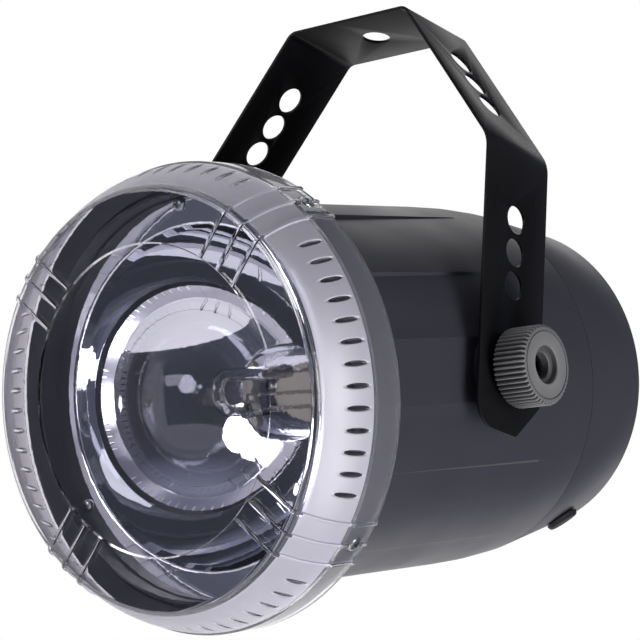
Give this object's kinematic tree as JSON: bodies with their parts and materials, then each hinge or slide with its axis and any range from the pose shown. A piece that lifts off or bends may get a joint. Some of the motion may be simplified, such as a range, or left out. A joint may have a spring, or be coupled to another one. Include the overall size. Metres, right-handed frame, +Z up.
{
  "type": "strobe light",
  "caption": "Round black strobe light with a ribbed clear front cover, hung in a folded steel bracket; the housing tilts between clamp knobs and a speed knob sits at the rear",
  "frame": {"origin": "centre of the hanging hole, on the outer face of the bracket's top plate", "axes": "+Z is up, out of the hanging hole; +X runs along the tilt axis; the light looks towards -Y and 16 degrees down"},
  "size_m": [0.1758, 0.2478, 0.2384],
  "materials": {
    "powder_coat": "black satin powder coat on steel",
    "shell_plastic": "black satin ABS",
    "clear_plastic": "clear polycarbonate with a faint violet tint",
    "polished_aluminium": "spun and polished to a mirror",
    "tube_glass": "clear fused glass",
    "steel": "zinc plated",
    "brass": "plain turned brass",
    "rubber": "smooth black rubber",
    "knob_plastic": "charcoal moulded plastic, ribbed grip",
    "gland_plastic": "black nylon",
    "ceramic": "unglazed white ceramic",
    "board_laminate": "green glass-fibre laminate",
    "capacitor_sleeve": "blue shrink sleeve",
    "coil_enamel": "dark red lacquered winding",
    "red_lead": "red insulated lead",
    "black_lead": "black insulated lead",
    "white_lead": "white silicone lead",
    "grey_lead": "grey insulated lead"
  },
  "bodies": {
    "bracket": {"bracket_strip": "powder_coat"},
    "housing": {"barrel_shell": "shell_plastic", "rear_shell": "shell_plastic", "front_cover": "clear_plastic", "reflector": "polished_aluminium", "flash_tube": "tube_glass", "anode_electrode": "steel", "cathode_electrode": "steel", "trigger_wire": "steel", "trigger_eyelet": "brass", "lamp_base": "ceramic", "reflector_screw_1": "steel", "reflector_screw_2": "steel", "reflector_screw_3": "steel", "cover_screw_1": "steel", "cover_screw_2": "steel", "cover_screw_3": "steel", "cover_screw_4": "steel", "rear_screw_1": "steel", "rear_screw_2": "steel", "rear_screw_3": "steel", "rear_screw_4": "steel", "right_threaded_insert": "brass", "left_threaded_insert": "brass", "right_friction_pad": "rubber", "left_friction_pad": "rubber", "right_rear_foot": "rubber", "left_rear_foot": "rubber", "circuit_board": "board_laminate", "capacitor_1": "capacitor_sleeve", "capacitor_2": "capacitor_sleeve", "trigger_coil": "coil_enamel", "power_resistor": "ceramic", "board_fuse": "steel", "anode_lead": "red_lead", "cathode_lead": "black_lead", "trigger_lead": "white_lead", "control_lead": "grey_lead", "supply_lead": "black_lead", "speed_potentiometer": "steel", "speed_nut": "steel", "cable_gland": "gland_plastic", "gland_nut": "gland_plastic"},
    "right_washer_body": {"right_washer": "steel"},
    "left_washer_body": {"left_washer": "steel"},
    "right_clamp": {"right_clamp_knob": "knob_plastic", "right_clamp_screw": "steel"},
    "left_clamp": {"left_clamp_knob": "knob_plastic", "left_clamp_screw": "steel"},
    "speed_control": {"speed_shaft": "steel", "speed_knob": "knob_plastic"}
  },
  "joints": [
    {"name": "tilt", "type": "hinge", "parent": "bracket", "child": "housing", "pos_m": [0, 0, -0.1382], "axis": [1, 0, 0], "range_deg": [-56, 44]},
    {"name": "right_clamp_travel", "type": "slide", "parent": "housing", "child": "right_washer_body", "axis": [1, 0, 0], "range_m": [0, 0.003]},
    {"name": "left_clamp_travel", "type": "slide", "parent": "housing", "child": "left_washer_body", "axis": [-1, 0, 0], "range_m": [0, 0.003]},
    {"name": "right_clamp_turn", "type": "hinge", "parent": "right_washer_body", "child": "right_clamp", "pos_m": [0.08, 0, -0.1382], "axis": [1, 0, 0], "range_deg": [0, 1080]},
    {"name": "left_clamp_turn", "type": "hinge", "parent": "left_washer_body", "child": "left_clamp", "pos_m": [-0.08, 0, -0.1382], "axis": [-1, 0, 0], "range_deg": [0, 1080]},
    {"name": "speed_turn", "type": "hinge", "parent": "housing", "child": "speed_control", "pos_m": [0.0239, 0.10752, -0.13223], "axis": [0, 0.9613, 0.2756], "range_deg": [-150, 150]}
  ],
  "couplings": [
    {"joint": "right_clamp_travel", "follows": "right_clamp_turn", "m_per_rad": 0.000159},
    {"joint": "left_clamp_travel", "follows": "left_clamp_turn", "m_per_rad": 0.000159}
  ]
}
